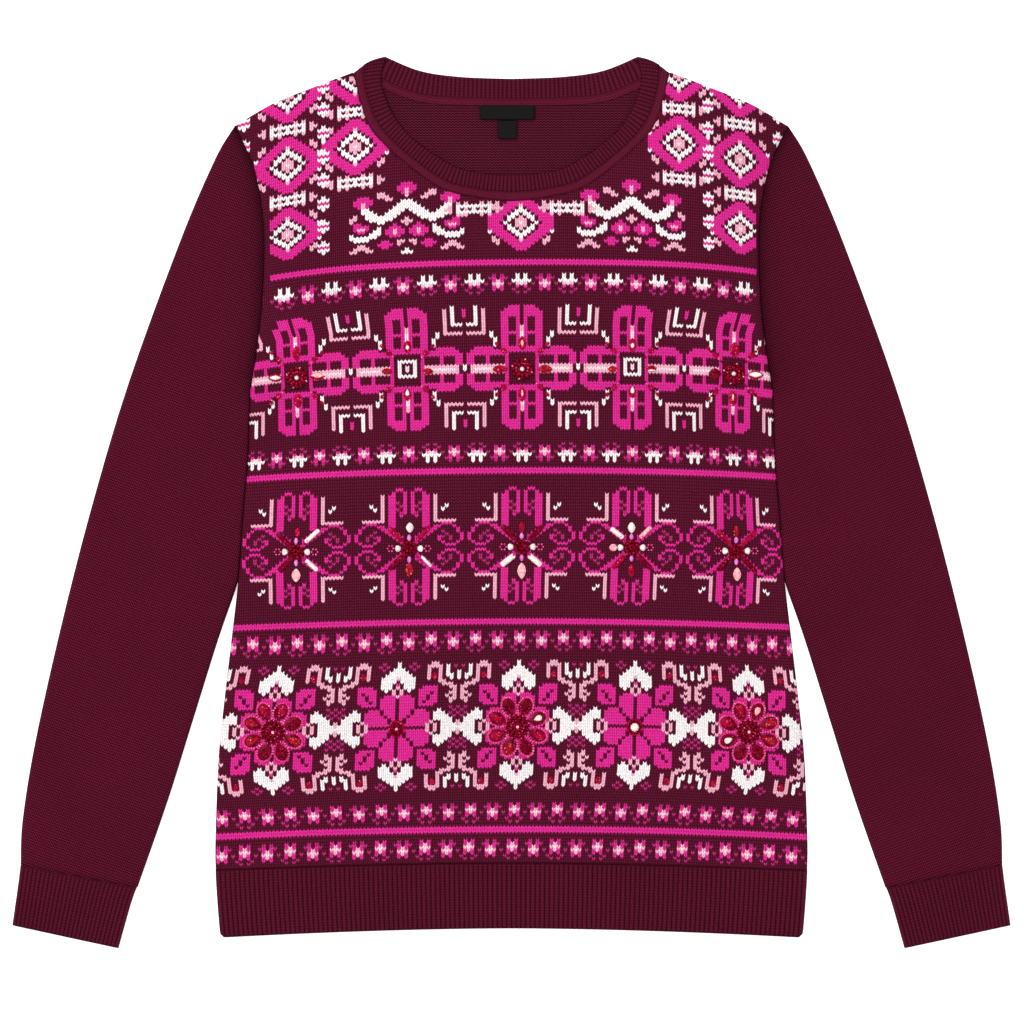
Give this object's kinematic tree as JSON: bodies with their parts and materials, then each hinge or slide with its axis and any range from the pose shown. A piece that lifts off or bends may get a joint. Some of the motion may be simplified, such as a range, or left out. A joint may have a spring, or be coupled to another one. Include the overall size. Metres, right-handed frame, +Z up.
{
  "type": "fair isle jumper",
  "caption": "Long-sleeved crew-neck knitted jumper with a banded fair isle front, ribbed neck, cuffs and hem, laid flat on its back.",
  "frame": {"origin": "on the surface that the jumper lies on, under the middle of its outline", "axes": "+X across the garment towards its left sleeve as worn, +Y from hem to neck, +Z up off the surface, through the front"},
  "size_m": [0.7352, 0.6561, 0.0067],
  "materials": {
    "burgundy_knit": "matte",
    "patterned_knit": "matte",
    "black_tape": "matte"
  },
  "bodies": {
    "root": {"front_panel": "patterned_knit", "back_panel": "burgundy_knit", "hem_rib_front": "burgundy_knit", "hem_rib_back": "burgundy_knit", "sleeve_right": "burgundy_knit", "sleeve_left": "burgundy_knit", "cuff_right": "burgundy_knit", "cuff_left": "burgundy_knit", "neckband": "burgundy_knit", "label_main": "black_tape", "label_size": "black_tape"}
  },
  "joints": []
}
